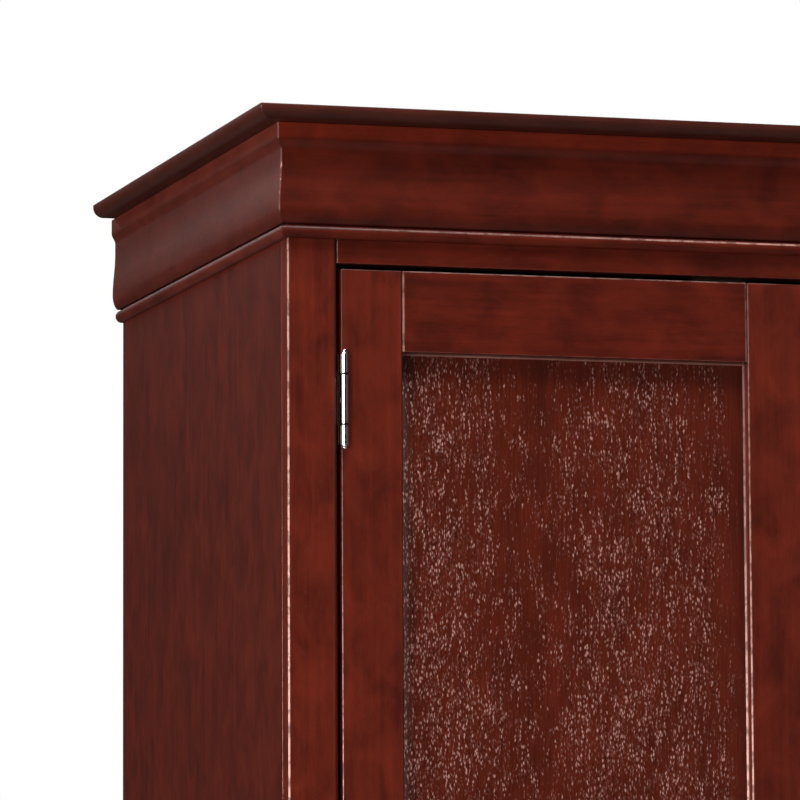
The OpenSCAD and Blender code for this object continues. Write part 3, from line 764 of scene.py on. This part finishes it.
# ---- Carcase boards ----------------------------------------------------------
def front_corner(middle):
    """Picks the upright front corners of the carcase."""
    return close(abs(middle.x), HALF_W) and close(middle.y, FRONT_Y)


def opening_edge(middle):
    """Picks the upright front edges of the stiles beside the doors and drawers."""
    return close(abs(middle.x), OPENING_X) and close(middle.y, FRONT_Y)


for name in SIDES:
    board(name + "_side", side_wood, ease=0.5, edge_highlight=upright_edge)
    board(name + "_stile", upright, ease=0.6, edge_highlight=corner_edge,
          rounded={1.4: front_corner, 3.0: opening_edge})
    board("base_" + name, level_y, ease=1.2)
board("base_front", level, ease=1.2)
for node in ("top_rail", "middle_rail", "drawer_rail", "bottom_rail"):
    board(node, level, ease=0.6, edge_highlight=level_edge)
board("base_back", lining, ease=0.8)
board("base_blocks", lining_upright, ease=0.8)
for node in ("inner_top", "wardrobe_floor", "bottom_board", "upper_shelf"):
    board(node, lining, ease=0.6)
board("back_panel", lining_upright, ease=0.3)
board("drawer_runners", maple_y, ease=0.6)
smooth_part("foot_glides", nylon, ease=0.4)
smooth_part("shelf_pins", steel, ease=0.4)
smooth_part("hanging_rod", steel)
smooth_part("rod_sockets", steel, ease=0.5)
smooth_part("door_catches", catch_material, ease=0.6)


# ---- Screws and nails ----------------------------------------------------------
HEAD_POINTS = 24  # round a head
# The cross recess: an arm's length and half its width, as shares of the head's radius.
CROSS_ARM, CROSS_HALF_WIDTH = 0.58, 0.16
KNOB_SCREW = {"radius": 4.2, "proud": 1.9}
BACKWARDS = (0, 1, 0)


def cross_outline(arm, half_width):
    """The twelve corners of a cross, counter-clockwise from its right arm's upper corner."""
    quarter = [(arm, half_width), (half_width, half_width), (half_width, arm)]
    corners = []
    for turn in range(4):
        angle = math.radians(90 * turn)
        corners += [(x * math.cos(angle) - y * math.sin(angle),
                     x * math.sin(angle) + y * math.cos(angle)) for x, y in quarter]
    return corners


def add_head(bm, spot, facing, radius, proud, recessed=True):
    """Adds one screw or nail head. It stands proud of the surface at the spot."""
    aim = Vector(facing).to_track_quat("Z", "Y").to_matrix()

    def ring(points, z):
        return [bm.verts.new(Vector(spot) + aim @ Vector((x, y, z))) for x, y in points]

    def circle(r):
        step = 2 * math.pi / HEAD_POINTS
        return [(r * math.cos(step * (i + 0.5)), r * math.sin(step * (i + 0.5)))
                for i in range(HEAD_POINTS)]

    def bridge(a, b):
        for i in range(len(a)):
            j = (i + 1) % len(a)
            bm.faces.new((a[i], a[j], b[j], b[i]))

    foot = ring(circle(radius), -0.9 * MM)
    rim = ring(circle(radius), 0.4 * proud)
    top = ring(circle(0.9 * radius), proud)
    bridge(foot, rim)
    bridge(rim, top)
    bm.faces.new(foot)
    if not recessed:
        bm.faces.new(top)
        return
    outline = cross_outline(CROSS_ARM * radius, CROSS_HALF_WIDTH * radius)
    edge, floor = ring(outline, proud), ring(outline, proud - 0.45 * radius)
    bridge(edge, floor)
    bm.faces.new(floor)
    sector = HEAD_POINTS // 4
    for turn in range(4):
        arc = [top[turn * sector + i] for i in range(sector)]
        corner = edge[3 * turn:3 * turn + 3]
        bm.faces.new(arc + corner[::-1])
        tip_end, tip_start = corner[0], edge[(3 * turn + 11) % 12]
        bm.faces.new((top[turn * sector - 1], top[turn * sector], tip_end, tip_start))


def heads(name, body, material, slot, spots, facing, radius, proud, recessed=True):
    """One piece with a head at each spot, all facing one way, with its sizes in mm."""
    bm = bmesh.new()
    for spot in spots:
        add_head(bm, spot, facing, radius * MM, proud * MM, recessed)
    add_object(name, mesh_from(name, bm), body, material)


def leaf_screws(label, body, face_x, facing):
    """Three staggered screws in each of one side's hinge leaves."""
    spots = [(face_x, FRONT_Y + inset * MM, z + lift * MM)
             for z in HINGE_ZS for lift, inset in ((-25, 11), (0, 7), (25, 11))]
    heads(label + "_hinge_screws", body, screw_nickel, "hinge_nickel", spots, (facing, 0, 0),
          radius=3.1, proud=0.25)


def back_nails():
    """Brads round the back panel."""
    low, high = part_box("back_panel")
    side_inset, end_inset, spacing = 5 * MM, 10 * MM, 150 * MM
    up = int((high.z - low.z) / spacing)
    over = int((high.x - low.x) / spacing)
    spots = []
    for i in range(up + 1):
        z = low.z + end_inset + (high.z - low.z - 2 * end_inset) * i / up
        spots += [(low.x + side_inset, high.y, z), (high.x - side_inset, high.y, z)]
    for i in range(1, over):
        x = low.x + (high.x - low.x) * i / over
        spots += [(x, high.y, high.z - end_inset), (x, high.y, low.z + end_inset)]
    heads("back_panel_nails", CARCASE, screw_steel, "fitting_steel", spots, BACKWARDS,
          radius=1.6, proud=0.35, recessed=False)


back_nails()


# ---- Doors -------------------------------------------------------------------
def outer_front_edge(node):
    """Picks a board's upright front edge on the side away from the middle of the armoire."""
    low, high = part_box(node)
    outer = max(-low.x, high.x)
    return lambda middle: close(abs(middle.x), outer) and close(middle.y, low.y)


def rail_end(node):
    """Picks a rail's two upright front edges, at the stiles."""
    low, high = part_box(node)
    inside = 5 * MM
    return lambda middle: (low.z + inside < middle.z < high.z - inside
                           and close(middle.y, low.y))


def panel_fillet(door):
    """The thin line of lacquer that fills the corner between a panel and its frame. Its faces take
    a painted edge highlight, and its top length a paler wood as painted light.
    """
    stile_low, stile_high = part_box(door + "_hinge_stile")
    meet_low, meet_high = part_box(door + "_meeting_stile")
    panel_low, panel_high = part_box(door + "_panel")
    groove, size = 7 * MM, 1.5 * MM
    x0 = min(stile_high.x, meet_high.x)
    x1 = max(stile_low.x, meet_low.x)
    z0 = panel_low.z + groove
    z1 = panel_high.z - groove
    section = [(0, 0.3 * MM), (size, 0.3 * MM), (0.45 * size, -0.4 * size), (0, -size)]
    corners = [(x0, z0, 1, 1), (x1, z0, -1, 1), (x1, z1, -1, -1), (x0, z1, 1, -1)]
    bm = bmesh.new()
    rings = [[bm.verts.new((x + dx * inward, panel_low.y + y, z + dz * inward))
              for inward, y in section] for x, z, dx, dz in corners]
    for a, b in zip(rings, rings[1:] + rings[:1]):
        along_top = a[0].co.z > z1 - 2 * size and b[0].co.z > z1 - 2 * size
        for i in range(len(section)):
            j = (i + 1) % len(section)
            bm.faces.new((a[i], a[j], b[j], b[i])).material_index = int(along_top)
    mesh = mesh_from(door + "_fillet", bm, sharp_angle=50)
    add_object(door + "_panel_fillet", mesh, door, upright_edge)
    mesh.materials.append(fillet_painted_light)


def door_screws(name, side):
    """The screws of one door's hinges, strike and knob, each against the face it holds."""
    door = name + "_door"
    hinge_low, hinge_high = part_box(door + "_hinge_stile")
    door_edge_x = max(-hinge_low.x, hinge_high.x)
    leaf_screws(door, door, side * door_edge_x, side)
    leaf_screws(name + "_frame", CARCASE, side * (OPENING_X - LEAF_THICKNESS), -side)
    strike = middle_of(door + "_strike")
    strike_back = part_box(door + "_strike")[1].y
    heads(door + "_strike_screws", door, screw_steel, "fitting_steel",
          [(strike.x + reach * MM, strike_back, strike.z) for reach in (-12, 12)],
          BACKWARDS, radius=2.6, proud=0.15)
    knob = middle_of(door + "_knob")
    stile_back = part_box(door + "_meeting_stile")[1].y
    heads(door + "_knob_screw", door, screw_steel, "fitting_steel",
          [(knob.x, stile_back, knob.z)], BACKWARDS, **KNOB_SCREW)


for name, side in SIDES.items():
    door = name + "_door"
    board(door + "_hinge_stile", upright, ease=1.2, edge_highlight=hinge_stile_edge,
          rounded={2.0: outer_front_edge(door + "_hinge_stile")})
    board(door + "_meeting_stile", upright, ease=1.2, edge_highlight=meeting_stile_edge)
    for rail in (door + "_top_rail", door + "_bottom_rail"):
        board(rail, level, ease=1.2, edge_highlight=level_edge, rounded={2.0: rail_end(rail)})
    board(door + "_panel", panel_wood, ease=0.3)
    panel_fillet(door)
    smooth_part(door + "_knob", knob_metal)
    smooth_part(door + "_hinge_leaves", nickel, ease=0.6)
    smooth_part(door + "_strike", steel, ease=0.3)
    door_screws(name, side)
smooth_part("frame_hinge_leaves", frame_leaf_nickel, ease=0.6)
smooth_part("hinge_pins", pin_nickel, ease=0.2)


# ---- Drawers -------------------------------------------------------------------
for drawer in ("upper_drawer", "lower_drawer"):
    board(drawer + "_front", level, ease=0.9)
    for name in SIDES:
        board(f"{drawer}_{name}_side", maple_y, ease=0.4)
    board(drawer + "_back", maple_x, ease=0.4)
    board(drawer + "_bottom", maple_x, ease=0.3)
    smooth_part(drawer + "_knobs", knob_metal)
    knobs_low, knobs_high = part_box(drawer + "_knobs")
    knob_radius = (knobs_high.z - knobs_low.z) / 2
    knob_x, knob_z = knobs_high.x - knob_radius, knobs_low.z + knob_radius
    back_of_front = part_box(drawer + "_front")[1].y
    heads(drawer + "_knob_screws", drawer, screw_steel, "fitting_steel",
          [(side * knob_x, back_of_front, knob_z) for side in SIDES.values()], BACKWARDS,
          **KNOB_SCREW)


# ---- Stage ---------------------------------------------------------------------
LIT_POINT = Vector((-0.1, FRONT_Y, 1.45))


def studio_floor():
    """A pale floor. Far from the armoire the camera sees it evenly lit, as a seamless sweep.

    It sends little light back up, as if dark flags lay round the shot."""
    bm = bmesh.new()
    bmesh.ops.create_circle(bm, cap_ends=True, segments=96, radius=30)
    mesh = mesh_from("studio_floor", bm)
    floor = bpy.data.objects.new("studio_floor", mesh)
    bpy.context.scene.collection.objects.link(floor)
    s = Shader("pale_floor")
    distance = s.add("ShaderNodeVectorMath", {0: s.place}, operation="LENGTH").outputs["Value"]
    far = s.span(distance, 1.2, 3.2)
    camera_ray = s.add("ShaderNodeLightPath").outputs["Is Camera Ray"]
    speck = s.noise((0.02, 0.02, 0.02), detail=3)
    paint = s.mix(speck, (0.78, 0.78, 0.77, 1), (0.82, 0.82, 0.81, 1))
    seen = s.mix(camera_ray, (0.24, 0.22, 0.21, 1), paint)
    matt = s.add("ShaderNodeBsdfDiffuse", {"Color": seen})
    glow = s.add("ShaderNodeEmission", {"Color": (0.93, 0.93, 0.93, 1), "Strength": 1.0})
    both = s.add("ShaderNodeMixShader", {0: s.math("MULTIPLY", far, camera_ray),
                                         1: matt.outputs[0], 2: glow.outputs[0]})
    s.add("ShaderNodeOutputMaterial", {"Surface": both.outputs[0]})
    mesh.materials.append(s.material)


def softbox(name, bearing, elevation, size, power, reach=3.3, target=LIT_POINT):
    """A square softbox that faces the target. Its bearing goes from the front to the left."""
    light = bpy.data.lights.new(name, "AREA")
    light.shape = "SQUARE"
    light.size = size
    light.energy = power
    turn, lift = math.radians(bearing), math.radians(elevation)
    towards = Vector((-math.sin(turn) * math.cos(lift), -math.cos(turn) * math.cos(lift),
                      math.sin(lift)))
    lamp = bpy.data.objects.new(name, light)
    lamp.location = target + reach * towards
    lamp.rotation_mode = "QUATERNION"
    lamp.rotation_quaternion = towards.to_track_quat("Z", "Y")
    lamp.visible_camera = False
    bpy.context.scene.collection.objects.link(lamp)


def white_world(fill):
    """A white backdrop for the camera, and a faint even fill light for the armoire."""
    world = bpy.data.worlds.new("studio")
    bpy.context.scene.world = world
    world.use_nodes = True
    tree = world.node_tree
    tree.nodes.clear()
    ray = tree.nodes.new("ShaderNodeLightPath")
    dim = tree.nodes.new("ShaderNodeBackground")
    dim.inputs["Color"].default_value = (1, 1, 1, 1)
    dim.inputs["Strength"].default_value = fill
    white = tree.nodes.new("ShaderNodeBackground")
    white.inputs["Color"].default_value = (1, 1, 1, 1)
    mixer = tree.nodes.new("ShaderNodeMixShader")
    output = tree.nodes.new("ShaderNodeOutputWorld")
    tree.links.new(ray.outputs["Is Camera Ray"], mixer.inputs[0])
    tree.links.new(dim.outputs[0], mixer.inputs[1])
    tree.links.new(white.outputs[0], mixer.inputs[2])
    tree.links.new(mixer.outputs[0], output.inputs["Surface"])


def photo_camera():
    """The photograph's long lens, low and to the left, tilted up at the cornice."""
    place = Vector((-1.730, -4.9375, 1.005))
    yaw, pitch, roll = (math.radians(v) for v in (16.34, 6.50, -0.28))
    forward = Vector((math.sin(yaw) * math.cos(pitch), math.cos(yaw) * math.cos(pitch),
                      math.sin(pitch)))
    right = Vector((math.cos(yaw), -math.sin(yaw), 0))
    up = right.cross(forward)
    right, up = (math.cos(roll) * right + math.sin(roll) * up,
                 math.cos(roll) * up - math.sin(roll) * right)
    camera = bpy.data.cameras.new("photo_camera")
    camera.lens = 263.66
    camera.sensor_width = 36
    camera.clip_start, camera.clip_end = 0.1, 200
    holder = bpy.data.objects.new("photo_camera", camera)
    turn = Matrix((right, up, -forward)).transposed()
    holder.matrix_world = Matrix.Translation(place) @ turn.to_4x4()
    bpy.context.scene.collection.objects.link(holder)
    bpy.context.scene.camera = holder


studio_floor()
white_world(0.02)
photo_camera()
softbox("left_front_softbox", 49, 0, 1.3, 55)
softbox("left_softbox", 80, 0, 1.3, 56)
softbox("high_left_softbox", 40, 60, 1.3, 46)
softbox("overhead_softbox", 0, 72, 1.3, 84)
softbox("left_back_softbox", 155, 30, 1.3, 15)
softbox("back_softbox", 215, 35, 1.7, 120, reach=4.5)
softbox("right_softbox", 237, 10, 1.7, 60, reach=3.8)
softbox("right_front_softbox", -44, 0, 2.6, 2.2)

scene = bpy.context.scene
scene.view_settings.view_transform = "Standard"
scene.view_settings.look = "None"
